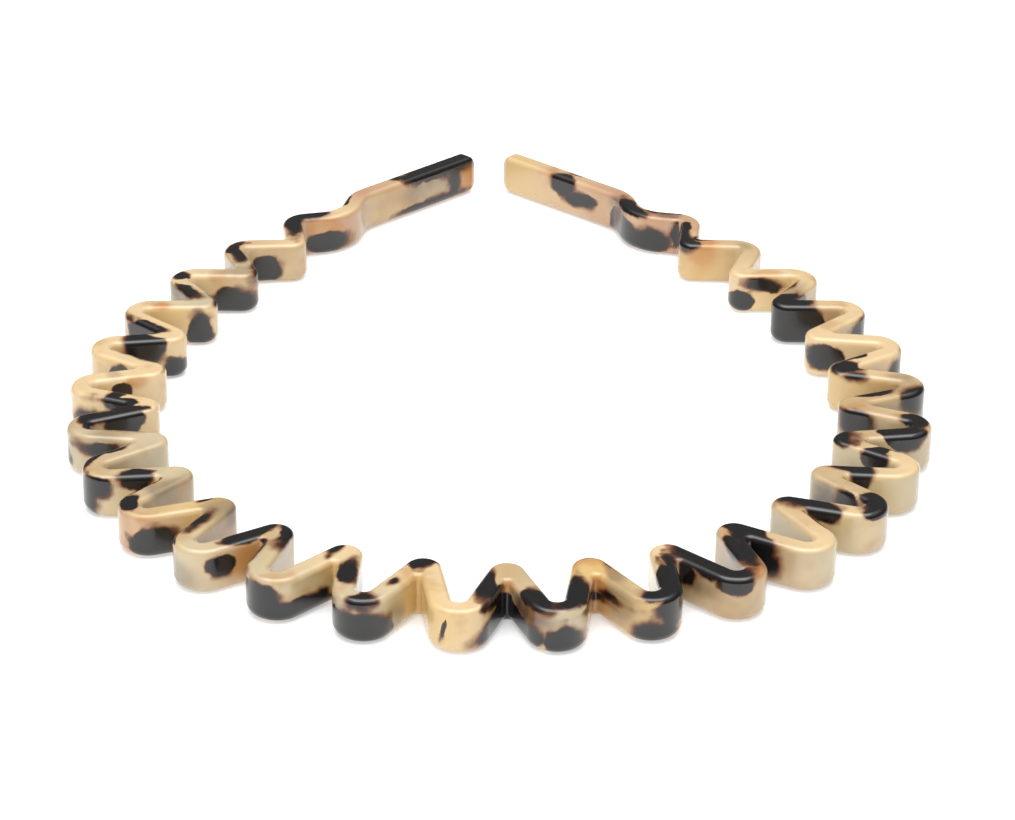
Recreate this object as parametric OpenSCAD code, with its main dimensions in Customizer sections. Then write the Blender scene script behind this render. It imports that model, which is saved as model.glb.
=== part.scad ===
// Zigzag headband. One strip of cellulose acetate stands on edge and runs in waves from
// one tip, over the crown of the head, to the other tip. Seen from above the strip swings
// in and out about a base line made of arcs. The crown faces -Y, the tips meet at +Y, and
// the band lies flat on the plane Z = 0.
//
// The strip is springy, so it is divided at the outside of five waves on each side. Each
// dividing slot marks the place of a hinge that stands for the bending of the waves.

/* [Strip] */
// Thickness of the strip, across the waves
strip_t = 3.2; // [2.8:0.1:3.6]
// Height of the strip, which is the thickness of the sheet it is cut from
strip_h = 6.5; // [4:0.5:9]
// Width of the slot between two flexing stretches
slot_w = 0.2; // [0.1:0.05:0.4]

/* [Waves] */
// Spacing of the outer lobes over the crown and down to the widest part
pitch_main = 12.6; // [12.2:0.1:13.4]
// Spacing of the outer lobes behind the ears
pitch_rear = 13; // [12.4:0.1:13.8]
// Spacing of the last waves, next to the tip bars
pitch_last = 14.3; // [13.4:0.1:15]
// Depth between the sharp corners of the zigzag at the crown
depth_crown = 19.6; // [17:0.2:21]
// Depth between the sharp corners over the front of the head
depth_front = 20.4; // [18:0.2:22]
// Depth between the sharp corners at the widest part
depth_side = 18.2; // [17:0.2:20]
// Depth between the sharp corners behind the ears
depth_rear = 13.6; // [12:0.2:18]
// Depth between the sharp corners at the last wave
depth_last = 4.8; // [3:0.2:7]
// Radius of the round outer lobes, on the middle line of the strip
outer_lobe_r = 2.5; // [2.2:0.1:3.4]
// Outside radius of the tighter inner lobes
inner_lobe_r = 2.5; // [1.8:0.1:2.8]
// Radius left in the notch behind each inner lobe
notch_r = 0.4; // [0.2:0.1:0.6]

/* [Plan shape] */
// Radius of the base line over the crown and the temples
crown_r = 57.4; // [55:0.1:60]
// Length of the base line that has that radius, from the middle of the crown to one side
crown_len = 94; // [90:1:98]
// Radius of the base line along the sides
side_r = 82; // [76:0.5:90]
// Length of the base line that has that radius
side_len = 44; // [40:1:48]
// Radius of the base line behind the ears
rear_r = 320; // [280:10:600]
// How far the last bend stands out from the base line
last_bend_out = 1.2; // [0.4:0.1:2]
// Radius of the two gentle bends before each tip bar, on the strip's middle line
last_bend_r = 6; // [4:0.5:8]
// Length of each straight tip bar, from the last bend to its end
bar_len = 25; // [20:0.5:30]
// How far the end of the bar stands in from the base line
bar_end_in = 0.4; // [0:0.1:1]
// Radius of the corners at the end of each tip bar
tip_r = 1; // [0.4:0.1:1.4]

/* [Hidden] */

// The base line is a chain of arcs, each [length, radius]; the last one runs on to the tip.
ARCS = [[crown_len, crown_r], [side_len, side_r], [1000, rear_r]];
// Corners are counted from the crown: even ones point inwards, odd ones outwards.
BEND = 27;
TIP = BEND + 1;
PITCHES = [[13, pitch_main], [20, pitch_rear], [BEND, pitch_last]];
DEPTHS = [[0, depth_crown], [6.5, depth_front], [13, depth_side], [19.5, depth_rear], [26, depth_last]];
// Outer lobes at which the strip is divided.
CUTS = [1, 5, 9, 13, 19];
ARC_STEPS = 12;

function turned(v, a) = [v.x * cos(a) - v.y * sin(a), v.x * sin(a) + v.y * cos(a)];
function unit(v) = v / norm(v);

// Place and heading [x, y, degrees] at a distance s along the base line from the crown.
function along(s, i = 0, x = 0, y = 0, a = 0) =
    let(
        run = min(s, ARCS[i][0]),
        turn = run / ARCS[i][1] * 180 / PI,
        chord = 2 * ARCS[i][1] * sin(turn / 2),
        nx = x + chord * cos(a + turn / 2),
        ny = y + chord * sin(a + turn / 2)
    )
    s <= ARCS[i][0] ? [nx, ny, a + turn] : along(s - run, i + 1, nx, ny, a + turn);

// Distance of corner k from the crown along the base line.
function station(k) = k <= 0 ? 0 : station(k - 1) + lookup(k - 0.5, PITCHES) / 2;

// How far corner k stands off the base line, outwards when positive.
function standoff(k) =
    k == TIP ? -bar_end_in : k == BEND ? last_bend_out : (k % 2 == 0 ? -0.5 : 0.5) * lookup(k, DEPTHS);

// Sharp corner k on the right-hand side, k = 0 at the crown and k = TIP at the bar's end.
function right_corner(k) =
    let(
        s = k == TIP ? station(BEND) + bar_len : station(k),
        at = along(s)
    )
    [at.x, at.y] + standoff(k) * [sin(at[2]), -cos(at[2])];

RIGHT = [for (k = [0:TIP]) right_corner(k)];
function corner(k) = k < 0 ? [-RIGHT[-k].x, RIGHT[-k].y] : RIGHT[k];

// Direction from corner k to the outside of its bend, and the sine of half the angle there.
function apex_dir(k) =
    -unit(unit(corner(k - 1) - corner(k)) + unit(corner(k + 1) - corner(k)));
function half_sin(k) =
    norm(cross_z(apex_dir(k), unit(corner(k + 1) - corner(k))));
function cross_z(a, b) = [a.x * b.y - a.y * b.x];
function is_outer(k) = abs(k) % 2 == 1;

// Fillet radius at corner k on the convex or the concave face of the strip.
function fillet_r(k, convex) =
    abs(k) >= BEND - 1 ? last_bend_r + (convex ? 0.5 : -0.5) * strip_t
    : is_outer(k) ? outer_lobe_r + (convex ? 0.5 : -0.5) * strip_t
    : (convex ? inner_lobe_r : notch_r);

// Arc of one face of the strip round corner k. Angle f counts from the apex, forwards.
function bend_arc(k, outer_face, from, to) =
    let(
        convex = is_outer(k) == outer_face,
        r = fillet_r(k, convex),
        a = apex_dir(k),
        forward = turned(a, is_outer(k) ? 90 : -90),
        c = corner(k) + a * ((convex ? 0.5 : -0.5) * strip_t - r) / half_sin(k),
        reach = 90 - asin(half_sin(k)),
        slot = asin(slot_w / 2 / r),
        f0 = from ? slot : -reach,
        f1 = to ? -slot : reach
    )
    [for (i = [0:ARC_STEPS])
        let(f = f0 + (f1 - f0) * i / ARC_STEPS)
        c + r * (cos(f) * a + sin(f) * forward)];

// One face of the strip from the cut at corner k0 to the cut at corner k1.
function face(k0, k1, outer_face) =
    [for (k = [k0:min(k1, BEND)]) each bend_arc(k, outer_face, k == k0, k == k1)];

// Rounded end of the tip bar.
function bar_end() =
    let(
        along_bar = unit(RIGHT[TIP] - RIGHT[BEND]),
        across = turned(along_bar, -90),
        inset = RIGHT[TIP] - along_bar * tip_r,
        half = strip_t / 2 - tip_r
    )
    concat(
        [for (i = [0:6]) inset + across * half + tip_r * turned(across, 15 * i)],
        [for (i = [0:6]) inset - across * half + tip_r * turned(along_bar, 15 * i)]
    );

function reversed(v) = [for (i = [len(v) - 1:-1:0]) v[i]];

// Plan outline of the stretch between corners k0 and k1.
function outline(k0, k1) =
    concat(face(k0, k1, true), k1 >= TIP ? bar_end() : [], reversed(face(k0, k1, false)));

// The origin is under the middle of the band's bounding box.
Y_LOW = min([for (p = face(-1, 3, true)) p.y]);
Y_HIGH = max([for (p = bar_end()) p.y]);
CENTRE = [0, -(Y_LOW + Y_HIGH) / 2, 0];

module stretch(k0, k1)
{
    translate(CENTRE)
        linear_extrude(height = strip_h)
            polygon(outline(k0, k1));
}

module left_stretch(k0, k1)
{
    mirror([1, 0, 0])
        stretch(k0, k1);
}

module crown() { color("burlywood") stretch(-CUTS[0], CUTS[0]); }
module right_front_waves() { color("saddlebrown") stretch(CUTS[0], CUTS[1]); }
module right_temple_waves() { color("wheat") stretch(CUTS[1], CUTS[2]); }
module right_side_waves() { color("sienna") stretch(CUTS[2], CUTS[3]); }
module right_rear_waves() { color("tan") stretch(CUTS[3], CUTS[4]); }
module right_tip_arm() { color("peru") stretch(CUTS[4], TIP); }
module left_front_waves() { color("saddlebrown") left_stretch(CUTS[0], CUTS[1]); }
module left_temple_waves() { color("wheat") left_stretch(CUTS[1], CUTS[2]); }
module left_side_waves() { color("sienna") left_stretch(CUTS[2], CUTS[3]); }
module left_rear_waves() { color("tan") left_stretch(CUTS[3], CUTS[4]); }
module left_tip_arm() { color("peru") left_stretch(CUTS[4], TIP); }

crown();
left_front_waves();
left_temple_waves();
left_side_waves();
left_rear_waves();
left_tip_arm();
right_front_waves();
right_temple_waves();
right_side_waves();
right_rear_waves();
right_tip_arm();
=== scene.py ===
"""Looks of a zigzag headband cut from blonde tortoiseshell acetate.

The strip is rebuilt with polished, rounded edges in ten runs. Each run crosses one flexing
place of the band.
"""

import logging
from dataclasses import dataclass, field
from enum import Enum
from math import asin, cos, pi, radians, sin

import bpy
import numpy as np
from mathutils import Matrix, Vector


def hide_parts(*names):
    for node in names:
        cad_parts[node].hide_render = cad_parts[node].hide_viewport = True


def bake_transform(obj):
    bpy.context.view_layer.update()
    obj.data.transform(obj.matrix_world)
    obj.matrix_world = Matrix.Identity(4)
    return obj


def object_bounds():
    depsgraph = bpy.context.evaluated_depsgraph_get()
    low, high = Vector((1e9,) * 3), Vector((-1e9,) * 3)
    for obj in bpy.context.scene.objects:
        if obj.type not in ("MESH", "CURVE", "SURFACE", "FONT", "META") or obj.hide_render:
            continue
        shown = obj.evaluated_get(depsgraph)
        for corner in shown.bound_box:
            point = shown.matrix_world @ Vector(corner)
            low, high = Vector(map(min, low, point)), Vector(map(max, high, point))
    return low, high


LOG = logging.getLogger("headband")
MM = 0.001

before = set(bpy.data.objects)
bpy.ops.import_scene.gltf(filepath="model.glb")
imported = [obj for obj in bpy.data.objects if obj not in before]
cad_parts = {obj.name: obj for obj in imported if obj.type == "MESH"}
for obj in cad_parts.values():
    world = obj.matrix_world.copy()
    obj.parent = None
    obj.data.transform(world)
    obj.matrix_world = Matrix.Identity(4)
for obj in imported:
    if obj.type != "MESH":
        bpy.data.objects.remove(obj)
CAD_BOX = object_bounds()


class Side(Enum):
    """The two halves of the band, with the sign of their X."""

    LEFT = -1
    RIGHT = 1


class Tone(Enum):
    """Colours within the acetate, as linear red, green and blue."""

    CREAM = (0.65, 0.48, 0.27)
    TAN = (0.46, 0.32, 0.17)
    HONEY = (0.59, 0.40, 0.15)
    AMBER = (0.45, 0.195, 0.048)
    ROSE = (0.46, 0.27, 0.16)
    PEARL = (0.47, 0.40, 0.265)
    SMOKE = (0.29, 0.215, 0.12)
    ASH = (0.09, 0.077, 0.066)
    COCOA = (0.07, 0.028, 0.014)


@dataclass(frozen=True)
class Cloud:
    """One dark cloud in the acetate, an oval on the strip's unrolled surface.

    Attributes:
        corner: place along the strip, counted in corners from the crown.
        girth: place round the strip, in millimetres from the middle of the top, positive
            down the outer face and negative down the inner one.
        reach: half length along the strip, in millimetres.
        half: half width round the strip, in millimetres.
        slant: how far the cloud leans along the strip for each millimetre round it.
    """

    corner: float
    girth: float
    reach: float
    half: float
    slant: float = 0.0


@dataclass(frozen=True)
class Stain:
    """A soft change of body colour, an oval like a cloud but without an edge.

    Attributes:
        tone: colour in the middle of the stain.
        place: the oval it fills.
        share: how much of the body colour it covers in the middle.
    """

    tone: Tone
    place: Cloud
    share: float = 0.9


@dataclass(frozen=True)
class Rung:
    """One cross cut of the strip, from its outer face to its inner face.

    Attributes:
        outer: point on the outer face, in plan, in millimetres.
        inner: point on the inner face.
        outer_normal: way out of the material at the outer point.
        inner_normal: way out of the material at the inner point.
        corner: place along the strip, counted in corners from the crown.
        run: distance along the strip from the crown, in millimetres.
    """

    outer: np.ndarray
    inner: np.ndarray
    outer_normal: np.ndarray
    inner_normal: np.ndarray
    corner: float
    run: float


def unit(v: np.ndarray) -> np.ndarray:
    """The vector at length one."""
    return v / np.linalg.norm(v)


def turned(v: np.ndarray, angle: float) -> np.ndarray:
    """A plan vector turned anticlockwise by an angle in radians."""
    return np.array([v[0] * cos(angle) - v[1] * sin(angle), v[0] * sin(angle) + v[1] * cos(angle)])


@dataclass
class BandPlan:
    """Plan of the zigzag strip, in millimetres, from the crown to the right-hand tip.

    Corners are counted from the crown. Even ones point inwards and odd ones outwards, and
    the straight tip bar runs from the last bend to the tip.

    Attributes:
        strip_t: thickness of the strip, across the waves.
        strip_h: height of the strip.
        outer_lobe_r: radius of the outer lobes, on the strip's middle line.
        inner_lobe_r: radius of the outside of the inner lobes.
        notch_r: radius of the hollow inside the inner lobes.
        last_bend_out: how far the last bend stands outside the base line.
        last_bend_r: radius of the two gentle bends before each tip bar.
        bar_len: length of the tip bar.
        bar_end_in: how far the end of the tip bar lies inside the base line.
        last_bend: number of the corner where the tip bar begins.
        arcs: length and radius of each arc of the base line.
        pitch_knots: corner numbers, and the spacing of the waves there.
        depth_knots: corner numbers, and the depth of the waves there.
        arc_steps: cross cuts round each bend.
        step: about how far apart the cross cuts are on straight stretches.
        tip: number of the corner at the tip.
        corners: sharp corners of the zigzag.
    """

    strip_t: float = 3.2
    strip_h: float = 6.5
    outer_lobe_r: float = 2.5
    inner_lobe_r: float = 2.5
    notch_r: float = 0.4
    last_bend_out: float = 1.2
    last_bend_r: float = 6.0
    bar_len: float = 25.0
    bar_end_in: float = 0.4
    last_bend: int = 27
    arcs: tuple[tuple[float, float], ...] = ((94.0, 57.4), (44.0, 82.0), (1000.0, 320.0))
    pitch_knots: tuple[tuple[float, ...], ...] = ((13.0, 20.0, 27.0), (12.6, 13.0, 14.3))
    depth_knots: tuple[tuple[float, ...], ...] = (
        (0.0, 6.5, 13.0, 19.5, 26.0),
        (19.6, 20.4, 18.2, 13.6, 4.8),
    )
    arc_steps: int = 24
    step: float = 0.4
    tip: int = field(init=False)
    corners: list[np.ndarray] = field(init=False)

    def __post_init__(self) -> None:
        """Works out the sharp corners of the zigzag."""
        self.tip = self.last_bend + 1
        self.corners = [self._right_corner(k) for k in range(self.tip + 1)]

    def _along(self, distance: float) -> tuple[float, float, float]:
        """Place and heading on the base line.

        Args:
            distance: distance from the crown along the base line.

        Returns:
            X, Y and heading in radians.
        """
        x = y = heading = 0.0
        for length, radius in self.arcs:
            run = min(distance, length)
            turn = run / radius
            chord = 2 * radius * sin(turn / 2)
            x += chord * cos(heading + turn / 2)
            y += chord * sin(heading + turn / 2)
            heading += turn
            distance -= run
            if distance <= 0:
                break
        return x, y, heading

    def _station(self, k: int) -> float:
        """Distance of a corner from the crown along the base line."""
        return sum(float(np.interp(j - 0.5, *self.pitch_knots)) / 2 for j in range(1, k + 1))

    def _standoff(self, k: int) -> float:
        """How far a corner stands out from the base line.

        Args:
            k: the corner.

        Returns:
            The distance, negative on the inside.
        """
        if k == self.tip:
            return -self.bar_end_in
        if k == self.last_bend:
            return self.last_bend_out
        return (0.5 if k % 2 else -0.5) * float(np.interp(k, *self.depth_knots))

    def _right_corner(self, k: int) -> np.ndarray:
        """Sharp corner on the right-hand side.

        Args:
            k: the corner.

        Returns:
            Its place in plan.
        """
        s = self._station(self.last_bend) + self.bar_len if k == self.tip else self._station(k)
        x, y, heading = self._along(s)
        return np.array([x, y]) + self._standoff(k) * np.array([sin(heading), -cos(heading)])

    def heading(self, k: int) -> float:
        """Heading of the base line at a corner, in radians."""
        return self._along(self._station(k))[2]

    def bar_way(self) -> np.ndarray:
        """Direction of the right-hand tip bar."""
        return unit(self.corners[self.tip] - self.corners[self.last_bend])

    def corner(self, k: int) -> np.ndarray:
        """Sharp corner k, with negative corners on the left."""
        return self.corners[k] if k >= 0 else self.corners[-k] * [-1, 1]

    def _bend(self, k: int) -> list[tuple[np.ndarray, ...]]:
        """Matching points and normals on both faces round corner k.

        Args:
            k: the corner.

        Returns:
            Rows of outer point, inner point, outer normal and inner normal.
        """
        here = self.corner(k)
        back, on = unit(self.corner(k - 1) - here), unit(self.corner(k + 1) - here)
        apex = -unit(back + on)
        half_sin = abs(apex[0] * on[1] - apex[1] * on[0])
        reach = pi / 2 - asin(half_sin)
        outward = k % 2 == 1
        forward = turned(apex, pi / 2 if outward else -pi / 2)
        half_t = self.strip_t / 2
        if k >= self.last_bend - 1:
            convex_r, hollow_r = self.last_bend_r + half_t, self.last_bend_r - half_t
        elif outward:
            convex_r, hollow_r = self.outer_lobe_r + half_t, self.outer_lobe_r - half_t
        else:
            convex_r, hollow_r = self.inner_lobe_r, self.notch_r
        convex_c = here + apex * (half_t - convex_r) / half_sin
        hollow_c = here + apex * (-half_t - hollow_r) / half_sin
        rows = []
        for f in np.linspace(-reach, reach, self.arc_steps + 1):
            way = cos(f) * apex + sin(f) * forward
            convex, hollow = (convex_c + convex_r * way, way), (hollow_c + hollow_r * way, -way)
            outer, inner = (convex, hollow) if outward else (hollow, convex)
            rows.append((outer[0], inner[0], outer[1], inner[1]))
        return rows

    def _leg(
        self, start: tuple[np.ndarray, ...], end: tuple[np.ndarray, ...]
    ) -> list[tuple[np.ndarray, ...]]:
        """Points on both faces of a straight leg, square across the strip at its middle.

        Args:
            start: the last row of the bend before it.
            end: the first row of the bend after it.

        Returns:
            Rows as for a bend, without the two that were given.
        """
        way = unit(end[0] - start[0])
        marks = [float(p @ way) for p in (start[0], start[1], end[0], end[1])]
        middle = (max(marks[:2]) + min(marks[2:])) / 2
        square = tuple(p + way * (middle - m) for p, m in zip(start[:2], marks[:2]))
        rows = []
        for a, b, last in ((start[:2], square, True), (square, end[:2], False)):
            length = max(np.linalg.norm(b[0] - a[0]), np.linalg.norm(b[1] - a[1]))
            steps = max(2, round(float(length) / self.step))
            for i in range(1, steps + (1 if last else 0)):
                t = i / steps
                rows.append((a[0] + (b[0] - a[0]) * t, a[1] + (b[1] - a[1]) * t, start[2], start[3]))
        return rows

    def rungs(self) -> list[Rung]:
        """All the cross cuts of the right-hand half.

        Returns:
            Cross cuts in order from the middle of the crown to the tip.
        """
        bends = [self._bend(k) for k in range(self.tip)]
        rows, apexes = [], []
        for k, bend in enumerate(bends):
            half = self.arc_steps // 2
            if k == 0:
                bend = bend[half:]
            apexes.append(len(rows) + (0 if k == 0 else half))
            rows += bend
            if k < self.last_bend:
                rows += self._leg(bend[-1], bends[k + 1][0])
        way = self.bar_way()
        last = rows[-1]
        ends = [p + way * float((self.corners[self.tip] - p) @ way) for p in last[:2]]
        steps = round(float(np.linalg.norm(ends[0] - last[0])) / self.step)
        for i in range(1, steps + 1):
            t = i / steps
            rows.append((*(p + (e - p) * t for p, e in zip(last[:2], ends)), last[2], last[3]))
        apexes.append(len(rows) - 1)
        middles = [(r[0] + r[1]) / 2 for r in rows]
        gaps = [np.linalg.norm(b - a) for a, b in zip(middles, middles[1:])]
        runs = np.concatenate([[0.0], np.cumsum(gaps)])
        numbers = np.interp(runs, runs[apexes], range(self.tip + 1))
        return [Rung(*row, corner=float(q), run=float(s)) for row, q, s in zip(rows, numbers, runs)]


@dataclass(frozen=True)
class EdgePoint:
    """One point on the outline of the strip's cross-section.

    Attributes:
        side: 1 on the outer face, -1 on the inner one, and between them across the strip.
        depth: how far it lies inside its face, in millimetres.
        height: height above the underside, in millimetres.
        face: share of the normal that points out of the face.
        up: share of the normal that points up.
        girth: place round the strip, as in a cloud.
    """

    side: float
    depth: float
    height: float
    face: float
    up: float
    girth: float


@dataclass(frozen=True)
class PolishedSection:
    """Cross-section of the strip, with its edges rounded over by polishing.

    Attributes:
        edge_r: radius of the polished upper edges, in millimetres.
        foot_r: radius of the polished lower edges, in millimetres.
        edge_steps: facets round each edge.
        wall_steps: facets up each face.
        top_steps: facets across the top and the underside.
        tip_len: length of the rounded end of each bar.
        tip_drop: how much the top and the underside round over at the very end.
        tip_thin: how much each face rounds over at the very end.
        tip_steps: facets round the end of each bar.
    """

    edge_r: float = 0.85
    foot_r: float = 1.5
    edge_steps: int = 7
    wall_steps: int = 10
    top_steps: int = 6
    tip_len: float = 1.4
    tip_drop: float = 1.5
    tip_thin: float = 0.7
    tip_steps: int = 9

    def outline(self, thickness: float, height: float) -> list[EdgePoint]:
        """Points up the outer face, over the top, down the inner face and back below.

        Args:
            thickness: thickness of the strip, in millimetres.
            height: height of the strip, in millimetres.

        Returns:
            The closed outline, without a repeated first point.
        """
        r, foot, half_t = self.edge_r, self.foot_r, thickness / 2
        face = [
            (foot * (1 - cos(f)), foot * (1 + sin(f)), cos(f), sin(f))
            for f in np.linspace(-pi / 2, 0, self.edge_steps + 1)
        ]
        face += [(0.0, float(z), 1.0, 0.0) for z in np.linspace(foot, height - r, self.wall_steps + 1)[1:-1]]
        face += [
            (r * (1 - cos(f)), height - r + r * sin(f), cos(f), sin(f))
            for f in np.linspace(0, pi / 2, self.edge_steps + 1)
        ]
        girths = [half_t + height - z + (d if z < height / 2 else -d) for d, z, _, _ in face]
        across = [float(u) for u in np.linspace(1, -1, self.top_steps + 1)[1:-1]]
        around = 2 * half_t + height
        ring = [EdgePoint(1.0, *p, girth=g) for p, g in zip(face, girths)]
        ring += [EdgePoint(u, r, height, 0.0, 1.0, u * (half_t - r)) for u in across]
        ring += [EdgePoint(-1.0, *p, girth=-g) for p, g in reversed(list(zip(face, girths)))]
        ring += [EdgePoint(-u, foot, 0.0, 0.0, -1.0, around + u * (half_t - foot)) for u in across]
        return ring


@dataclass(frozen=True)
class SheetPattern:
    """The pattern of the acetate on one half of the band.

    Attributes:
        top: body tone of the top at each corner.
        outer: body tone of the outer face at each corner.
        inner: body tone of the inner face at each corner.
        clouds: the dark clouds.
        stains: soft changes of the body tone.
    """

    top: tuple[Tone, ...]
    outer: tuple[Tone, ...]
    inner: tuple[Tone, ...]
    clouds: tuple[Cloud, ...]
    stains: tuple[Stain, ...] = ()


@dataclass
class SheetPatterns:
    """Lays the patterns of both halves on the strip.

    Attributes:
        halves: the pattern of each half.
        corner_runs: distance of each corner from the crown along the strip.
        thickness: thickness of the strip, in millimetres.
        height: height of the strip, in millimetres.
        crispness: least half size that sets how fast a cloud fades, so that streaks stay thin.
        clear: how far outside every cloud a plain point counts, in millimetres.
        edge_in: how far in from the sides the top's tone begins to change, in millimetres.
        edge_blend: how far it takes to become the tone of the face, in millimetres.
        stain_rim: where a stain has faded out, as a share of its half size.
    """

    halves: dict[Side, SheetPattern]
    corner_runs: np.ndarray
    thickness: float
    height: float
    crispness: float = 0.9
    clear: float = 4.0
    edge_in: float = 0.3
    edge_blend: float = 0.9
    stain_rim: float = 1.5

    def _inside(self, oval: Cloud, sign: int, runs: np.ndarray, girths: np.ndarray) -> np.ndarray:
        """Distance from the middle of an oval, as a share of its half size.

        Args:
            oval: the oval.
            sign: -1 for an oval of the other half.
            runs: distance of each point from the crown.
            girths: place of each point round the strip.

        Returns:
            Zero in the middle, one on the rim and more outside.
        """
        around = 2 * (self.thickness + self.height)
        across = (girths - oval.girth + around / 2) % around - around / 2
        middle = float(np.interp(oval.corner, range(len(self.corner_runs)), self.corner_runs))
        along = sign * runs - middle - oval.slant * across
        return np.sqrt((along / oval.reach) ** 2 + (across / oval.half) ** 2)

    def darkness(self, side: Side, runs: np.ndarray, girths: np.ndarray) -> np.ndarray:
        """How far each point lies inside the nearest dark cloud.

        Args:
            side: the half of the band.
            runs: distance of each point from the crown.
            girths: place of each point round the strip.

        Returns:
            Millimetres inside a cloud, negative outside.
        """
        best = np.full(len(runs), -self.clear)
        for half, sign in ((side, 1), (Side(-side.value), -1)):
            for cloud in self.halves[half].clouds:
                if sign > 0 or cloud.corner < 1:
                    size = max(min(cloud.reach, cloud.half), self.crispness)
                    best = np.maximum(best, (1 - self._inside(cloud, sign, runs, girths)) * size)
        return best

    def body(self, side: Side, runs: np.ndarray, girths: np.ndarray) -> np.ndarray:
        """Body colour at each point.

        Args:
            side: the half of the band.
            runs: distance of each point from the crown.
            girths: place of each point round the strip.

        Returns:
            Rows of red, green, blue and one.
        """
        half = self.halves[side]
        t = self.thickness
        wall = np.clip((np.abs(girths) - t / 2 + self.edge_in) / self.edge_blend, 0, 1)[:, None]
        out = np.clip((girths + t / 2) / t, 0, 1)[:, None]
        tones = [
            np.stack([np.interp(runs, self.corner_runs, [n.value[i] for n in row]) for i in range(3)], -1)
            for row in (half.top, half.outer, half.inner)
        ]
        rgb = tones[0] * (1 - wall) + (tones[1] * out + tones[2] * (1 - out)) * wall
        for stain in half.stains:
            d = self._inside(stain.place, 1, runs, girths)
            share = np.clip(self.stain_rim - d, 0, 1)[:, None]
            share = share * share * (3 - 2 * share) * stain.share
            rgb = rgb * (1 - share) + np.array(stain.tone.value) * share
        return np.concatenate([rgb, np.ones((len(rgb), 1))], -1)


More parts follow.
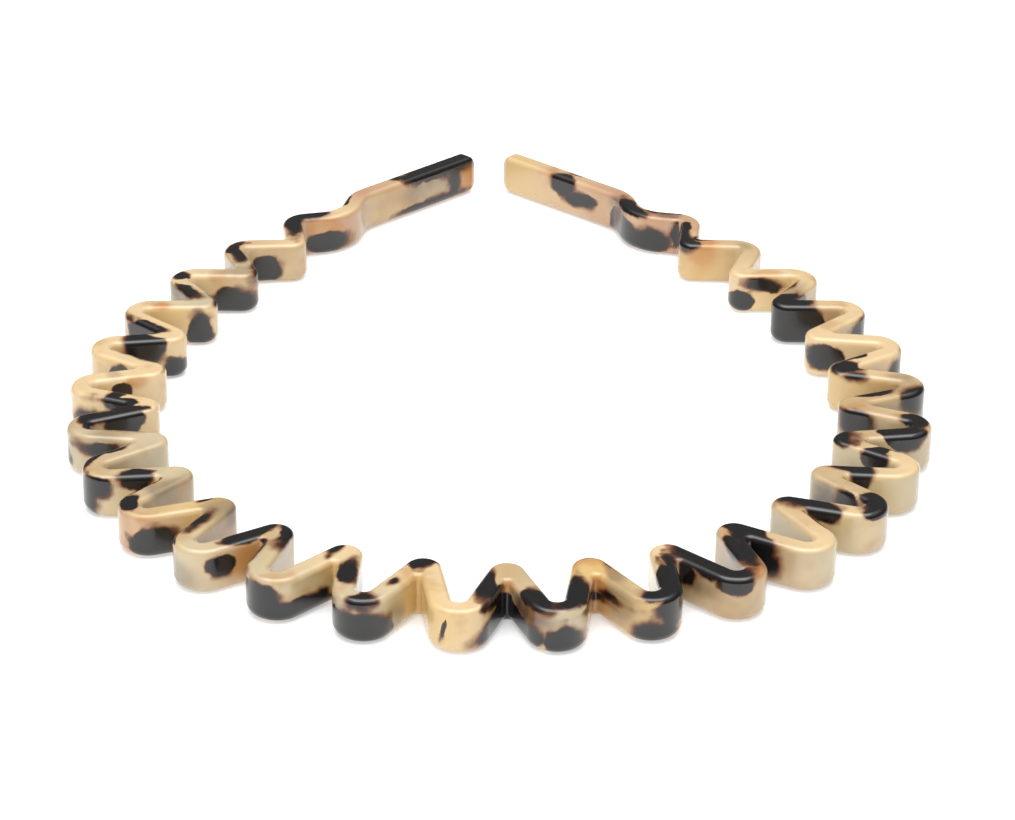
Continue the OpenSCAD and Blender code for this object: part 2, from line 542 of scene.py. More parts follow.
# Short names of the tones. A row below has one tone for each corner, from the crown to the tip.
C, H, A, T, R, P, S = Tone.CREAM, Tone.HONEY, Tone.AMBER, Tone.TAN, Tone.ROSE, Tone.PEARL, Tone.SMOKE
RIGHT_PATTERN = SheetPattern(
    top=(T, P, H, T, C, R, T, C, T, C, T, C, T, T, T, T, C, C, C, C, T, C, C, T, C, R, R, R, C),
    outer=(A, P, A, H, T, T, A, P, H, P, H, P, T, P, T, S, C, C, C, P, T, C, C, T, T, R, R, T, C),
    inner=(T, T, H, P, C, P, T, C, P, T, P, C, P, T, P, T, H, C, C, T, S, H, C, T, H, R, R, R, C),
    clouds=(
        Cloud(0.25, 6.4, 8.5, 2.0), Cloud(0.35, 9.6, 6.0, 2.4), Cloud(0.72, 0.5, 2.6, 1.7),
        Cloud(0.55, -6.5, 4.0, 3.0), Cloud(1.02, 6.8, 1.9, 2.4), Cloud(1.28, -0.2, 4.3, 1.6),
        Cloud(1.3, -4.5, 3.6, 3.4), Cloud(1.5, 3.0, 3.0, 0.5, 1.6), Cloud(2.0, 4.7, 3.6, 0.5),
        Cloud(2.4, 3.7, 2.8, 0.5, -1.8), Cloud(2.08, -2.4, 2.2, 1.3), Cloud(2.95, 7.0, 1.8, 1.8),
        Cloud(2.7, -6.0, 3.2, 2.6), Cloud(3.3, 0.1, 4.6, 2.1), Cloud(3.72, 1.2, 2.4, 0.9),
        Cloud(3.12, 3.2, 1.5, 2.2), Cloud(3.6, 6.0, 3.0, 3.0), Cloud(4.55, 0.0, 5.8, 2.4),
        Cloud(4.6, -4.6, 4.6, 3.2), Cloud(4.25, 3.1, 2.4, 1.7), Cloud(4.85, 2.5, 1.3, 1.3),
        Cloud(5.5, -0.4, 3.2, 2.0), Cloud(5.8, 1.4, 4.8, 1.2), Cloud(6.15, 0.2, 2.3, 2.2),
        Cloud(5.7, 5.2, 3.8, 3.2), Cloud(6.3, 3.4, 2.6, 2.6), Cloud(6.48, 5.0, 1.2, 1.4),
        Cloud(6.2, -5.4, 2.6, 2.8), Cloud(7.6, 1.7, 2.8, 0.45), Cloud(7.6, 6.4, 2.4, 2.2),
        Cloud(8.28, 0.7, 3.2, 2.4, 0.5), Cloud(8.3, -5.6, 2.8, 2.6), Cloud(9.12, -0.5, 2.7, 1.7),
        Cloud(8.96, 1.1, 1.3, 1.2), Cloud(9.5, -3.2, 1.3, 1.3), Cloud(9.6, 1.7, 2.4, 0.45),
        Cloud(9.7, 6.2, 2.6, 2.2), Cloud(10.35, 0.4, 1.9, 3.4), Cloud(10.4, -5.8, 2.4, 2.4),
        Cloud(11.52, -2.4, 1.3, 1.6), Cloud(11.55, -0.3, 0.9, 1.3), Cloud(11.6, 1.8, 2.8, 0.7),
        Cloud(11.8, 5.8, 3.2, 2.4), Cloud(12.0, -0.9, 1.7, 0.8), Cloud(12.65, 0.9, 2.9, 2.9),
        Cloud(13.1, -0.6, 2.9, 1.6), Cloud(12.8, -5.8, 2.6, 2.4), Cloud(13.8, -3.4, 1.8, 1.7),
        Cloud(13.6, 6.4, 2.8, 2.0), Cloud(14.42, -1.0, 1.9, 1.1), Cloud(14.8, 2.3, 1.8, 1.9),
        Cloud(14.8, -6.0, 2.8, 2.2), Cloud(15.5, 6.0, 3.0, 2.4), Cloud(15.98, -0.1, 2.2, 1.0),
        Cloud(15.74, -1.4, 0.9, 0.9), Cloud(16.34, -1.4, 1.3, 0.7), Cloud(16.4, -6.2, 2.4, 2.0),
        Cloud(17.8, -4.6, 1.9, 1.6), Cloud(17.6, 6.2, 2.6, 2.2), Cloud(19.85, -4.6, 3.9, 4.2),
        Cloud(19.95, -0.2, 3.2, 2.0), Cloud(20.2, 5.2, 3.0, 2.8), Cloud(20.5, -1.6, 1.6, 0.6),
        Cloud(21.65, -3.3, 1.9, 0.9, 1.0), Cloud(21.92, -6.3, 1.3, 1.5), Cloud(22.4, 6.0, 2.6, 2.2),
        Cloud(24.3, -1.3, 4.0, 1.3), Cloud(23.92, 1.9, 1.8, 0.9), Cloud(24.4, 5.6, 3.0, 2.8),
        Cloud(25.15, -4.0, 1.2, 1.8), Cloud(25.72, -6.0, 3.2, 1.9), Cloud(25.6, 1.5, 2.6, 1.0),
        Cloud(25.9, 5.6, 3.4, 2.6), Cloud(26.5, -5.8, 4.2, 2.6), Cloud(26.3, -0.6, 2.9, 1.4),
        Cloud(27.33, -4.6, 3.2, 1.0, -1.0), Cloud(27.46, -2.7, 2.4, 2.4), Cloud(27.4, 4.0, 4.6, 3.0),
        Cloud(18.9, 4.8, 3.2, 2.6), Cloud(21.2, 5.8, 2.6, 2.0), Cloud(16.9, 5.2, 1.8, 2.4),
    ),
    stains=(
        Stain(Tone.COCOA, Cloud(0.6, 3.4, 4.2, 1.6)),
        Stain(Tone.ASH, Cloud(2.35, 0.0, 2.0, 1.4), 0.6),
        Stain(Tone.SMOKE, Cloud(2.6, 3.6, 3.4, 3.4), 0.8),
        Stain(Tone.AMBER, Cloud(2.0, -1.2, 3.0, 0.8), 0.8),
        Stain(Tone.ASH, Cloud(3.1, 3.6, 2.0, 3.0), 0.7),
        Stain(Tone.COCOA, Cloud(4.5, 3.8, 3.4, 1.6), 0.6),
        Stain(Tone.SMOKE, Cloud(4.9, 6.2, 4.2, 2.4), 0.5),
        Stain(Tone.AMBER, Cloud(5.1, 0.0, 1.2, 2.0), 0.7),
        Stain(Tone.ASH, Cloud(9.75, -4.2, 2.2, 2.2), 0.8),
        Stain(Tone.SMOKE, Cloud(9.6, 0.0, 3.0, 1.6), 0.5),
        Stain(Tone.COCOA, Cloud(12.0, -0.6, 2.2, 1.2), 0.5),
        Stain(Tone.ASH, Cloud(13.8, -4.2, 2.6, 2.2), 0.6),
        Stain(Tone.COCOA, Cloud(14.8, 0.6, 1.8, 1.4), 0.7),
        Stain(Tone.SMOKE, Cloud(15.2, -0.4, 2.4, 1.2), 0.8),
        Stain(Tone.ASH, Cloud(14.9, 4.2, 2.4, 2.4), 0.7),
        Stain(Tone.AMBER, Cloud(15.8, -1.0, 1.2, 1.6), 0.8),
        Stain(Tone.SMOKE, Cloud(20.2, 0.0, 4.4, 2.0), 0.8),
        Stain(Tone.AMBER, Cloud(21.6, -0.6, 2.0, 2.2), 0.5),
        Stain(Tone.SMOKE, Cloud(23.0, -0.6, 1.6, 1.0), 0.6),
        Stain(Tone.AMBER, Cloud(23.8, -1.0, 2.4, 5.0), 0.7),
        Stain(Tone.COCOA, Cloud(25.4, -0.4, 2.0, 1.0), 0.6),
        Stain(Tone.ASH, Cloud(26.7, -3.2, 3.0, 2.6), 0.7),
        Stain(Tone.HONEY, Cloud(27.9, -3.0, 5.0, 6.0), 0.6),
    ),
)
LEFT_PATTERN = SheetPattern(
    top=(T, C, C, P, C, P, T, P, H, T, P, T, P, P, C, C, C, C, C, C, P, C, P, T, C, R, C, R, C),
    outer=(A, C, H, P, H, P, A, P, H, R, H, P, T, P, C, C, H, C, P, P, P, S, P, T, T, R, R, T, C),
    inner=(T, C, H, P, C, P, T, P, R, T, P, T, P, T, C, C, C, H, C, H, C, C, T, T, T, R, R, T, A),
    clouds=(
        Cloud(0.22, 6.0, 7.0, 2.6), Cloud(0.5, 2.3, 3.0, 1.0), Cloud(0.3, 9.6, 5.0, 2.0),
        Cloud(0.48, 0.1, 2.5, 1.5, 0.4), Cloud(0.5, -5.8, 3.4, 2.6), Cloud(1.08, 4.0, 0.12, 1.1, 0.15),
        Cloud(1.6, -6.6, 3.0, 2.0), Cloud(2.04, -1.2, 1.6, 1.7), Cloud(2.2, -5.6, 3.0, 2.4),
        Cloud(2.48, 0.1, 0.8, 0.5), Cloud(2.94, 1.0, 1.1, 1.7), Cloud(3.02, 6.6, 3.8, 2.9),
        Cloud(3.57, 0.1, 2.4, 1.4, 0.5), Cloud(3.6, 5.6, 3.0, 2.6), Cloud(3.5, -5.6, 2.6, 2.6),
        Cloud(4.14, -1.0, 0.8, 1.0), Cloud(4.6, 7.0, 5.6, 1.9), Cloud(5.08, 5.2, 2.2, 2.5, 0.3),
        Cloud(5.7, 1.7, 3.6, 0.55), Cloud(5.86, -1.0, 2.0, 0.9), Cloud(6.3, 0.1, 3.1, 1.6),
        Cloud(5.8, 5.8, 3.4, 2.4), Cloud(6.2, -5.4, 2.8, 2.8), Cloud(6.68, 4.1, 1.6, 1.3),
        Cloud(7.58, 0.5, 2.3, 0.6, 1.2), Cloud(7.25, 1.7, 1.4, 0.4), Cloud(7.5, 4.8, 1.4, 0.8),
        Cloud(8.72, 5.9, 2.4, 2.4), Cloud(8.22, -0.9, 0.5, 0.4), Cloud(8.6, -6.0, 2.6, 2.0),
        Cloud(9.12, 0.2, 1.6, 0.9), Cloud(9.5, 1.6, 3.2, 0.6), Cloud(9.7, 6.2, 2.6, 2.2),
        Cloud(10.45, 1.6, 2.7, 1.9), Cloud(10.85, 3.3, 1.2, 1.4), Cloud(10.96, 6.0, 0.9, 2.2),
        Cloud(10.5, -6.0, 2.8, 2.2), Cloud(11.35, 1.4, 3.2, 0.7), Cloud(11.8, 6.0, 3.0, 2.4),
        Cloud(12.6, 3.3, 2.2, 0.8), Cloud(12.95, -1.8, 5.0, 0.8), Cloud(13.35, -0.7, 3.2, 1.5),
        Cloud(13.6, -2.6, 2.2, 2.2), Cloud(13.75, 0.3, 1.8, 1.5), Cloud(14.15, 1.6, 3.5, 1.0),
        Cloud(14.42, 0.4, 0.9, 2.2), Cloud(13.2, 6.0, 3.0, 2.0), Cloud(14.6, 6.2, 2.8, 2.2),
        Cloud(15.55, -3.6, 0.8, 0.8), Cloud(15.7, 6.0, 2.6, 2.4), Cloud(16.35, -1.6, 2.9, 0.6),
        Cloud(16.6, -6.4, 2.2, 1.8), Cloud(17.56, -1.9, 2.3, 3.6), Cloud(18.2, 1.7, 4.8, 1.1),
        Cloud(18.5, 3.6, 2.8, 2.2), Cloud(17.9, -7.0, 1.1, 1.7), Cloud(19.84, -6.0, 1.3, 2.4),
        Cloud(20.15, -1.8, 1.3, 0.6), Cloud(20.4, 0.9, 2.5, 0.9), Cloud(20.96, 0.0, 1.0, 1.0),
        Cloud(20.0, 5.8, 2.8, 2.4), Cloud(21.74, -6.2, 2.5, 2.5), Cloud(22.15, -2.3, 1.5, 1.4),
        Cloud(22.75, 0.0, 3.0, 0.9), Cloud(22.4, 5.6, 2.8, 2.6), Cloud(23.52, -5.7, 1.9, 2.0),
        Cloud(24.9, 0.1, 4.8, 1.3), Cloud(24.3, 5.8, 2.6, 2.4), Cloud(25.6, -6.1, 2.9, 1.9),
        Cloud(26.1, 5.6, 3.2, 2.6), Cloud(26.55, 1.2, 1.6, 0.5), Cloud(27.73, -0.6, 9.2, 2.3),
        Cloud(27.8, -4.2, 0.9, 2.6), Cloud(27.6, -7.2, 5.4, 0.7), Cloud(27.4, 5.2, 5.0, 2.8),
        Cloud(16.4, 4.6, 2.4, 2.0), Cloud(19.1, 5.0, 2.6, 2.4), Cloud(21.5, 4.8, 3.2, 2.6),
    ),
    stains=(
        Stain(Tone.COCOA, Cloud(0.4, 3.4, 3.4, 1.4), 0.8),
        Stain(Tone.HONEY, Cloud(1.5, 4.0, 7.0, 3.4), 0.8),
        Stain(Tone.HONEY, Cloud(2.1, 4.6, 4.6, 3.6), 0.9),
        Stain(Tone.SMOKE, Cloud(2.7, 5.6, 3.0, 2.2), 0.9),
        Stain(Tone.ASH, Cloud(3.25, 3.6, 2.6, 2.0), 0.5),
        Stain(Tone.AMBER, Cloud(6.4, 4.6, 3.0, 2.4), 0.7),
        Stain(Tone.ASH, Cloud(7.1, 6.0, 2.4, 2.4), 0.6),
        Stain(Tone.SMOKE, Cloud(7.8, 0.2, 4.2, 2.4), 1.0),
        Stain(Tone.ASH, Cloud(7.86, -2.6, 1.4, 1.6), 0.6),
        Stain(Tone.ASH, Cloud(9.6, -0.6, 2.6, 2.2), 0.6),
        Stain(Tone.SMOKE, Cloud(9.8, -3.0, 3.4, 2.6), 0.7),
        Stain(Tone.SMOKE, Cloud(12.5, 0.6, 2.8, 2.2), 0.8),
        Stain(Tone.SMOKE, Cloud(13.1, 3.6, 2.6, 2.6), 0.6),
        Stain(Tone.AMBER, Cloud(15.7, -2.4, 1.2, 1.2), 0.8),
        Stain(Tone.SMOKE, Cloud(15.5, 0.0, 1.0, 1.6), 0.5),
        Stain(Tone.AMBER, Cloud(19.4, -0.9, 1.4, 1.2), 0.9),
        Stain(Tone.ASH, Cloud(20.5, 2.6, 3.0, 1.6), 0.7),
        Stain(Tone.SMOKE, Cloud(21.9, 0.2, 3.0, 1.4), 0.6),
        Stain(Tone.AMBER, Cloud(25.5, -3.4, 2.8, 1.6), 1.0),
        Stain(Tone.COCOA, Cloud(25.3, -1.2, 2.6, 0.8), 0.6),
        Stain(Tone.SMOKE, Cloud(27.58, -4.4, 6.0, 2.4), 1.0),
        Stain(Tone.ASH, Cloud(27.6, -4.2, 4.6, 1.8), 0.4),
        Stain(Tone.AMBER, Cloud(27.95, -4.6, 1.2, 2.4), 0.8),
    ),
)


@dataclass(frozen=True)
class TortoiseAcetate:
    """Finish of polished blonde tortoiseshell acetate.

    Attributes:
        roughness: roughness of the body.
        coat: weight of the polished surface.
        coat_roughness: roughness of the polished surface.
        scatter: weight of the light that scatters inside.
        scatter_m: how far it scatters, in metres.
        dark: colour inside the clouds.
        halo: brown rim of the clouds.
        light: pale colour that veils the body.
        amber: warm haze in the body.
        ragged_mm: how far the edges of the clouds wander.
        spread_mm: how far the clouds reach beyond their ovals.
        blotch_m: size of the wandering, in metres.
        blur_scale: how often the edges change from crisp to soft, per metre.
        veil_scale: how often the pale veil changes, per metre.
        haze_scale: how often the amber haze changes, per metre.
        blur_step: smooth step from the noise to the softness of the edges. Each step gives where
            it begins and ends, and the results there.
        veil_step: step from the noise to the share of the pale veil.
        haze_step: step from the noise to the share of the amber haze.
        halo_step: step from the place in a cloud to the share of its brown rim.
        dark_step: step from the place in a cloud to the share of its dark colour.
    """

    roughness: float = 0.2
    coat: float = 0.4
    coat_roughness: float = 0.06
    scatter: float = 0.12
    scatter_m: float = 0.0012
    dark: tuple[float, float, float, float] = (0.008, 0.007, 0.007, 1.0)
    halo: tuple[float, float, float, float] = (0.15, 0.045, 0.012, 1.0)
    light: tuple[float, float, float, float] = (0.58, 0.44, 0.25, 1.0)
    amber: tuple[float, float, float, float] = (0.40, 0.19, 0.055, 1.0)
    ragged_mm: float = 2.3
    spread_mm: float = 0.32
    blotch_m: float = 0.0032
    blur_scale: float = 140.0
    veil_scale: float = 190.0
    haze_scale: float = 125.0
    blur_step: tuple[float, float, float, float] = (0.38, 0.64, 0.3, 1.1)
    veil_step: tuple[float, float, float, float] = (0.4, 0.75, 0.0, 0.5)
    haze_step: tuple[float, float, float, float] = (0.52, 0.74, 0.0, 0.6)
    halo_step: tuple[float, float, float, float] = (-0.9, 0.25, 0.0, 1.0)
    dark_step: tuple[float, float, float, float] = (-0.3, 0.5, 0.0, 1.0)

    def material(self) -> bpy.types.Material:
        """The node material, made once for all the runs.

        Returns:
            The new material.
        """
        mat = bpy.data.materials.new("tortoiseshell_acetate")
        mat.use_nodes = True
        tree = mat.node_tree
        shader = tree.nodes["Principled BSDF"]
        shader.inputs["Roughness"].default_value = self.roughness
        shader.inputs["Coat Weight"].default_value = self.coat
        shader.inputs["Coat Roughness"].default_value = self.coat_roughness
        shader.inputs["IOR"].default_value = 1.48
        shader.inputs["Subsurface Weight"].default_value = self.scatter
        shader.inputs["Subsurface Radius"].default_value = (1.0, 0.55, 0.25)
        shader.inputs["Subsurface Scale"].default_value = self.scatter_m
        rest = self._attribute(tree, "rest").outputs["Vector"]
        body = self._attribute(tree, "body").outputs["Color"]
        cloud = self._attribute(tree, "cloud").outputs["Fac"]
        ragged = self._noise(tree, rest, 1 / self.blotch_m, 2.5, 0.5)
        least = self.spread_mm - self.ragged_mm / 2
        edge = self._math(tree, "MULTIPLY_ADD", ragged, self.ragged_mm, least)
        inside = self._math(tree, "ADD", edge, cloud)
        softness = self._noise(tree, rest, self.blur_scale, 1.0, 0.5)
        blur = self._range(tree, softness, *self.blur_step)
        inside = self._math(tree, "DIVIDE", inside, blur)
        veil = self._noise(tree, rest, self.veil_scale, 2.0, 0.5)
        body = self._mix(tree, self._range(tree, veil, *self.veil_step), body, self.light)
        haze = self._noise(tree, rest, self.haze_scale, 3.0, 0.55)
        body = self._mix(tree, self._range(tree, haze, *self.haze_step), body, self.amber)
        body = self._mix(tree, self._range(tree, inside, *self.halo_step), body, self.halo)
        body = self._mix(tree, self._range(tree, inside, *self.dark_step), body, self.dark)
        tree.links.new(body, shader.inputs["Base Color"])
        return mat

    @staticmethod
    def _attribute(tree: bpy.types.NodeTree, name: str) -> bpy.types.Node:
        """A node that reads a mesh attribute.

        Args:
            tree: the node tree.
            name: the attribute.

        Returns:
            The new node.
        """
        node = tree.nodes.new("ShaderNodeAttribute")
        node.attribute_name = name
        return node

    @staticmethod
    def _noise(tree: bpy.types.NodeTree, vector: bpy.types.NodeSocket, scale: float, detail: float,
               rough: float) -> bpy.types.NodeSocket:
        """Noise at the rest position, for a pattern that stays in the material.

        Args:
            tree: the node tree.
            vector: the rest position.
            scale: how fine the noise is, per metre.
            detail: how many finer layers it has.
            rough: how strong those layers are.

        Returns:
            The noise, from nought to one.
        """
        node = tree.nodes.new("ShaderNodeTexNoise")
        node.inputs["Scale"].default_value = scale
        node.inputs["Detail"].default_value = detail
        node.inputs["Roughness"].default_value = rough
        tree.links.new(vector, node.inputs["Vector"])
        return node.outputs["Fac"]

    @staticmethod
    def _math(tree: bpy.types.NodeTree, operation: str,
              *values: bpy.types.NodeSocket | float) -> bpy.types.NodeSocket:
        """A math node on sockets and numbers.

        Args:
            tree: the node tree.
            operation: what the node works out.
            values: its sockets and numbers, in order.

        Returns:
            The result.
        """
        node = tree.nodes.new("ShaderNodeMath")
        node.operation = operation
        for socket, value in zip(node.inputs, values):
            if isinstance(value, bpy.types.NodeSocket):
                tree.links.new(value, socket)
            else:
                socket.default_value = value
        return node.outputs["Value"]

    @staticmethod
    def _range(tree: bpy.types.NodeTree, value: bpy.types.NodeSocket, low: float, high: float,
               to_low: float, to_high: float) -> bpy.types.NodeSocket:
        """A smooth step of a value from one range to another.

        Args:
            tree: the node tree.
            value: the value.
            low: where the step begins.
            high: where it ends.
            to_low: result up to the beginning.
            to_high: result from the end on.

        Returns:
            The result.
        """
        node = tree.nodes.new("ShaderNodeMapRange")
        node.interpolation_type = "SMOOTHSTEP"
        for name, number in zip(("From Min", "From Max", "To Min", "To Max"), (low, high, to_low, to_high)):
            node.inputs[name].default_value = number
        tree.links.new(value, node.inputs["Value"])
        return node.outputs["Result"]

    @staticmethod
    def _mix(tree: bpy.types.NodeTree, share: bpy.types.NodeSocket, low: bpy.types.NodeSocket,
             high: tuple[float, ...]) -> bpy.types.NodeSocket:
        """A colour mix from a socket to a fixed colour.

        Args:
            tree: the node tree.
            share: share of the fixed colour.
            low: the colour from the socket.
            high: the fixed colour.

        Returns:
            The mixed colour.
        """
        node = tree.nodes.new("ShaderNodeMix")
        node.data_type = "RGBA"
        tree.links.new(share, node.inputs[0])
        tree.links.new(low, node.inputs[6])
        node.inputs[7].default_value = high
        return node.outputs[2]


@dataclass(frozen=True)
class Flex:
    """One run of the strip, across one flexing place.

    Attributes:
        name: what the run is called.
        start: corner number where the run begins.
        end: corner number where it ends, past the last one where it ends at the tip.
        hinge: the outer lobe that flexes.
        near: body before the hinge.
        far: body after the hinge.
    """

    name: str
    start: float
    end: float
    hinge: int
    near: str
    far: str


FLEXES = (
    Flex("front", 0, 3.5, 1, "crown", "front_waves"),
    Flex("temple", 3.5, 7.5, 5, "front_waves", "temple_waves"),
    Flex("side", 7.5, 11.5, 9, "temple_waves", "side_waves"),
    Flex("rear", 11.5, 16.5, 13, "side_waves", "rear_waves"),
    Flex("tip", 16.5, 29, 19, "rear_waves", "tip_arm"),
)


@dataclass
class AcetateBand:
    """The whole strip, made as runs that bend at the band's flexing places.

    Attributes:
        plan: plan of the strip.
        section: its cross-section.
        halves: the pattern of each half.
        finish: the polished acetate.
        flex_reach: half length of each bending place along the band, in millimetres. Not used.
        rungs: cross cuts of the right-hand half.
        shift: from the plan's origin to the frame's, in millimetres.
        pattern: the pattern laid on the strip.
        ring: outline of the cross-section.
    """

    plan: BandPlan
    section: PolishedSection
    halves: dict[Side, SheetPattern]
    finish: TortoiseAcetate
    flex_reach: float = 4.2
    rungs: list[Rung] = field(init=False)
    shift: np.ndarray = field(init=False)
    pattern: SheetPatterns = field(init=False)
    ring: list[EdgePoint] = field(init=False)

    def __post_init__(self) -> None:
        """Works out the cross cuts and where the band stands in the frame."""
        self.rungs = self.plan.rungs()
        self.shift = np.array([0.0, CAD_BOX[0].y / MM - min(r.outer[1] for r in self.rungs)])
        numbers, runs = [r.corner for r in self.rungs], [r.run for r in self.rungs]
        corner_runs = np.interp(range(self.plan.tip + 1), numbers, runs)
        self.pattern = SheetPatterns(self.halves, corner_runs, self.plan.strip_t, self.plan.strip_h)
        self.ring = self.section.outline(self.plan.strip_t, self.plan.strip_h)

    def build(self) -> None:
        """Makes, dresses and mounts every run on both sides."""
        material = self.finish.material()
        for side in Side:
            for flex in FLEXES:
                obj = self._run(side, flex)
                obj.data.materials.append(material)
                self._mount(side, flex, obj)
                LOG.info("%s: %d points", obj.name, len(obj.data.vertices))

    def _nearest(self, corner: float) -> int:
        """Index of the rung nearest a corner number."""
        return int(np.abs(np.array([r.corner for r in self.rungs]) - corner).argmin())

    def _mount(self, side: Side, flex: Flex, obj: bpy.types.Object) -> None:
        """Fixes a run in place and hides the solids it stands for.

        Args:
            side: the half of the band.
            flex: the run.
            obj: its mesh.
        """
        label = side.name.lower()
        near, far = (b if b == "crown" else f"{label}_{b}" for b in (flex.near, flex.far))
        heading = self.plan.heading(flex.hinge)
        apex = self.rungs[self._nearest(flex.hinge)].outer + self.shift
        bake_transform(obj)
        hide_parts(far)
        if near == "crown":
            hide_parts(near)

    def _run(self, side: Side, flex: Flex) -> bpy.types.Object:
        """Sweeps the polished section along the rungs of one run.

        Args:
            side: the half of the band.
            flex: the run.

        Returns:
            The new object, linked to the scene.
        """
        rungs = self.rungs[self._nearest(flex.start):self._nearest(flex.end) + 1]
        last = rungs[-1] if flex.end > self.plan.tip else None
        if last:
            rungs = [r for r in rungs if r.run < last.run - self.section.tip_len - self.plan.step / 2]
        rings = [self._ring(r, side) for r in rungs]
        if last:
            angles = np.linspace(0, pi / 2, self.section.tip_steps + 1)
            rings += [self._ring(last, side, float(f)) for f in angles]
        points, normals, runs = (np.stack(rows) for rows in zip(*rings))
        girths = np.tile([p.girth for p in self.ring], len(rings))
        mesh = self._skin(f"{side.name.lower()}_{flex.name}_run", side, points, normals)
        self._attribute(mesh, "rest", "FLOAT_VECTOR", "vector", points)
        self._attribute(mesh, "cloud", "FLOAT", "value", self.pattern.darkness(side, runs.ravel(), girths))
        self._attribute(mesh, "body", "FLOAT_COLOR", "color", self.pattern.body(side, runs.ravel(), girths))
        obj = bpy.data.objects.new(mesh.name, mesh)
        bpy.context.scene.collection.objects.link(obj)
        return obj

    def _ring(self, rung: Rung, side: Side, tip: float | None = None) -> tuple[np.ndarray, ...]:
        """One ring of points round the strip.

        Args:
            rung: the cross cut it stands on.
            side: the half of the band.
            tip: how far round the end of the bar the ring lies, as an angle, or None.

        Returns:
            Points in metres, their normals, and their distances from the crown.
        """
        sec, height = self.section, self.plan.strip_h
        way = self.plan.bar_way()
        rounding = 0.0 if tip is None else 1 - cos(tip)
        back = 0.0 if tip is None else sec.tip_len * (1 - sin(tip))
        drop, thin = sec.tip_drop * rounding, sec.tip_thin * rounding
        names = ("side", "depth", "height", "face", "up")
        sides, depths, heights, faces, ups = (
            np.array([getattr(p, name) for p in self.ring]) for name in names
        )
        share = ((1 + sides) / 2)[:, None]
        outer = rung.outer - way * back - np.outer(depths + thin, rung.outer_normal)
        inner = rung.inner - way * back - np.outer(depths + thin, rung.inner_normal)
        plan = (outer * share + inner * (1 - share) + self.shift) * [side.value, 1]
        rise = drop + heights * (height - 2 * drop) / height
        points = np.column_stack([plan, rise]) * MM
        face = np.where(sides[:, None] > 0, rung.outer_normal, rung.inner_normal) * faces[:, None]
        normals = np.column_stack([face, ups])
        if tip is not None:
            normals = normals * cos(tip) + np.array([*way, 0.0]) * sin(tip)
        normals = normals / np.linalg.norm(normals, axis=1)[:, None] * [side.value, 1, 1]
        return points, normals, np.full(len(self.ring), rung.run - back)

    @staticmethod
    def _skin(name: str, side: Side, points: np.ndarray, normals: np.ndarray) -> bpy.types.Mesh:
        """Joins rings into a closed mesh with the normals of the polished surface.

        Args:
            name: what the mesh is called.
            side: the half of the band, since the left half is a mirror image.
            points: rows of rings of points.
            normals: the matching normals.

        Returns:
            The mesh, smooth all round and flat at its two ends.
        """
        rows, count = points.shape[:2]
        faces = []
        for near in range(0, (rows - 1) * count, count):
            far = near + count
            for j in range(count):
                on = (j + 1) % count
                faces.append((near + j, far + j, far + on, near + on))
        faces.append(tuple(range(count)))
        faces.append(tuple((rows - 1) * count + j for j in reversed(range(count))))
        if side is Side.LEFT:
            faces = [tuple(reversed(f)) for f in faces]
        mesh = bpy.data.meshes.new(name)
        mesh.from_pydata(points.reshape(-1, 3).tolist(), [], faces)
        mesh.update()
        mesh.shade_smooth()
        smooth = normals.reshape(-1, 3)
        first_cap = len(faces) - 2
        loops = []
        for p in mesh.polygons:
            loops += [tuple(p.normal if p.index >= first_cap else smooth[v]) for v in p.vertices]
        mesh.normals_split_custom_set(loops)
        return mesh

    @staticmethod
    def _attribute(mesh: bpy.types.Mesh, name: str, kind: str, key: str, values: np.ndarray) -> None:
        """Stores one value for each point of a mesh."""
        attribute = mesh.attributes.new(name, kind, "POINT")
        attribute.data.foreach_set(key, np.asarray(values, np.float32).ravel())


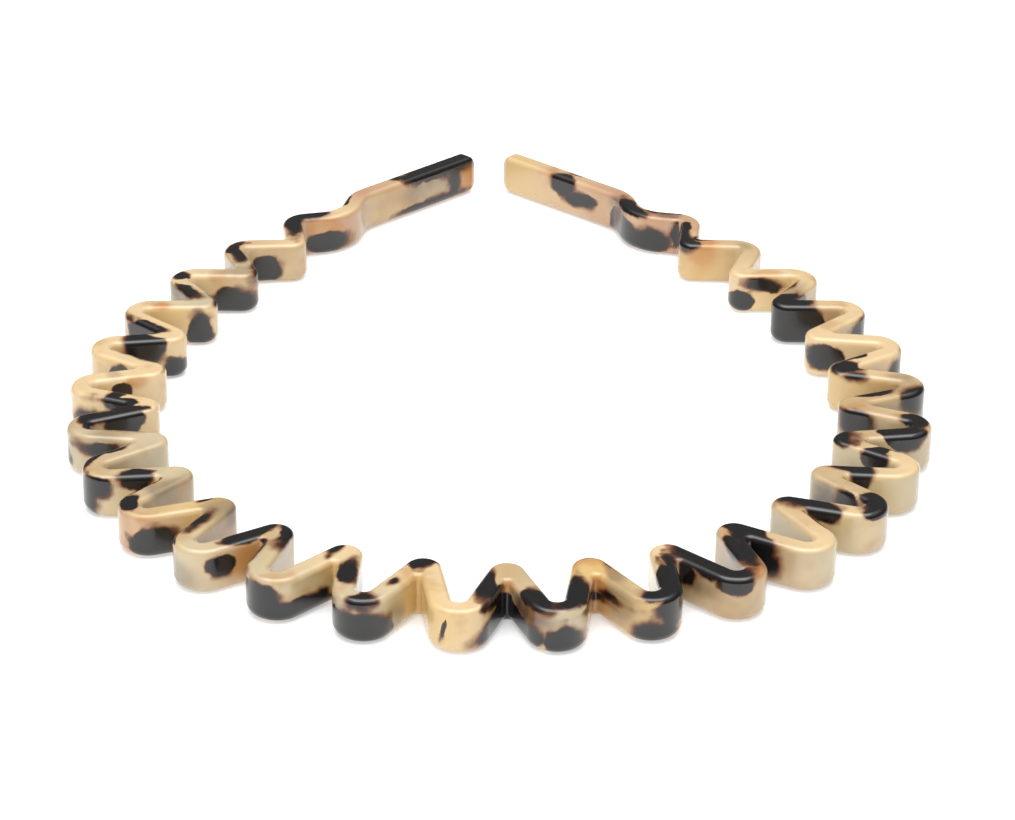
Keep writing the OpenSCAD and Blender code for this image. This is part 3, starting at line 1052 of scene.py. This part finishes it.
@dataclass(frozen=True)
class Studio:
    """Plain pale floor, soft lights and the camera, lengths in metres and angles in degrees.

    Attributes:
        elevation: how far above the floor the camera looks down from.
        turn: how far it stands round the band from straight in front.
        roll: how far it leans.
        distance: how far it stands from its target.
        target: the point on the floor that it looks at, before the turn.
        lens: focal length in millimetres.
        shift_y: upward shift of the lens, as a share of the width.
        floor_half: half width of the floor.
        floor_tone: grey of the floor.
        floor_glow: strength of the floor's own glow.
        low: brightness of the surroundings near the floor.
        high: brightness of the surroundings overhead.
        fade_from: where the surroundings begin to brighten, from 0 at floor level to 1 overhead.
        fade_to: where they are brightest.
        overhead_w: power of the light overhead, in watts.
        front_w: power of the light in front.
        rear_w: power of the light behind.
    """

    elevation: float = 26.79
    turn: float = 1.512
    roll: float = -0.616
    distance: float = 0.4894
    target: tuple[float, float] = (0.00158, -0.00819)
    lens: float = 118.96
    shift_y: float = 0.0046
    floor_half: float = 6.0
    floor_tone: tuple[float, float, float, float] = (0.72, 0.72, 0.715, 1.0)
    floor_glow: float = 0.35
    low: float = 0.15
    high: float = 1.3
    fade_from: float = 0.55
    fade_to: float = 0.9
    overhead_w: float = 7.0
    front_w: float = 8.0
    rear_w: float = 3.0

    def build(self) -> None:
        """Makes the floor, the lights and the camera."""
        self._floor()
        self._surround()
        self._softbox("overhead", (0.0, -0.05, 0.9), (0.9, 0.7), self.overhead_w)
        self._softbox("front_fill", (-0.3, -1.1, 0.5), (1.0, 0.7), self.front_w, shines=False)
        self._softbox("rear_fill", (0.2, 1.2, 0.5), (1.0, 0.7), self.rear_w, shines=False)
        self._camera()

    def _floor(self) -> None:
        """A pale floor under the band, with a little glow that keeps its shadows light."""
        mesh = bpy.data.meshes.new("floor")
        s = self.floor_half
        mesh.from_pydata([(-s, -s, 0), (s, -s, 0), (s, s, 0), (-s, s, 0)], [], [(0, 1, 2, 3)])
        mat = bpy.data.materials.new("floor")
        mat.use_nodes = True
        shader = mat.node_tree.nodes["Principled BSDF"]
        shader.inputs["Base Color"].default_value = self.floor_tone
        shader.inputs["Roughness"].default_value = 0.9
        shader.inputs["Specular IOR Level"].default_value = 0.1
        shader.inputs["Emission Color"].default_value = (1.0, 1.0, 1.0, 1.0)
        shader.inputs["Emission Strength"].default_value = self.floor_glow
        mesh.materials.append(mat)
        floor = bpy.data.objects.new("floor", mesh)
        bpy.context.scene.collection.objects.link(floor)

    def _surround(self) -> None:
        """White light from above that fades towards the floor, so that dark tops stay deep."""
        world = bpy.data.worlds.new("studio")
        world.use_nodes = True
        tree = world.node_tree
        background = tree.nodes["Background"]
        background.inputs["Color"].default_value = (1.0, 1.0, 1.0, 1.0)
        place = tree.nodes.new("ShaderNodeTexCoord")
        parts = tree.nodes.new("ShaderNodeSeparateXYZ")
        tree.links.new(place.outputs["Generated"], parts.inputs["Vector"])
        lift = tree.nodes.new("ShaderNodeMapRange")
        lift.interpolation_type = "SMOOTHSTEP"
        numbers = (self.fade_from, self.fade_to, self.low, self.high)
        for name, number in zip(("From Min", "From Max", "To Min", "To Max"), numbers):
            lift.inputs[name].default_value = number
        tree.links.new(parts.outputs["Z"], lift.inputs["Value"])
        tree.links.new(lift.outputs["Result"], background.inputs["Strength"])
        bpy.context.scene.world = world
        bpy.context.scene.view_settings.view_transform = "Standard"

    @staticmethod
    def _softbox(name: str, place: tuple[float, ...], size: tuple[float, float], power: float,
                 shines: bool = True) -> None:
        """One soft rectangular light that faces the middle of the band.

        Args:
            name: what it is called.
            place: where it stands.
            size: its width and height.
            power: its power in watts.
            shines: whether polished surfaces mirror it.
        """
        light = bpy.data.lights.new(name, "AREA")
        light.shape = "RECTANGLE"
        light.size, light.size_y = size
        light.energy = power
        obj = bpy.data.objects.new(name, light)
        obj.location = place
        obj.visible_glossy = shines
        obj.rotation_euler = (-Vector(place)).to_track_quat("-Z", "Y").to_euler()
        bpy.context.scene.collection.objects.link(obj)

    def _camera(self) -> None:
        """A long lens from the front, a little above the band."""
        e, r = radians(self.elevation), radians(self.roll)
        back = Vector((0.0, -cos(e), sin(e)))
        right, up = Vector((1.0, 0.0, 0.0)), Vector((0.0, sin(e), cos(e)))
        right, up = right * cos(r) - up * sin(r), right * sin(r) + up * cos(r)
        place = Vector((*self.target, 0.0)) + back * self.distance
        axes = Matrix((right, up, back)).transposed().to_4x4()
        turn = Matrix.Rotation(-radians(self.turn), 4, "Z")
        data = bpy.data.cameras.new("camera")
        data.sensor_width = 36.0
        data.lens = self.lens
        data.shift_y = self.shift_y
        data.clip_start, data.clip_end = 0.01, 50.0
        camera = bpy.data.objects.new("camera", data)
        camera.matrix_world = turn @ Matrix.Translation(place) @ axes
        bpy.context.scene.collection.objects.link(camera)
        bpy.context.scene.camera = camera


def main() -> None:
    """Builds the studio and the band."""
    logging.basicConfig(level=logging.INFO, format="%(name)s: %(message)s")
    Studio().build()
    halves = {Side.LEFT: LEFT_PATTERN, Side.RIGHT: RIGHT_PATTERN}
    AcetateBand(BandPlan(), PolishedSection(), halves, TortoiseAcetate()).build()


if __name__ == "__main__":
    main()
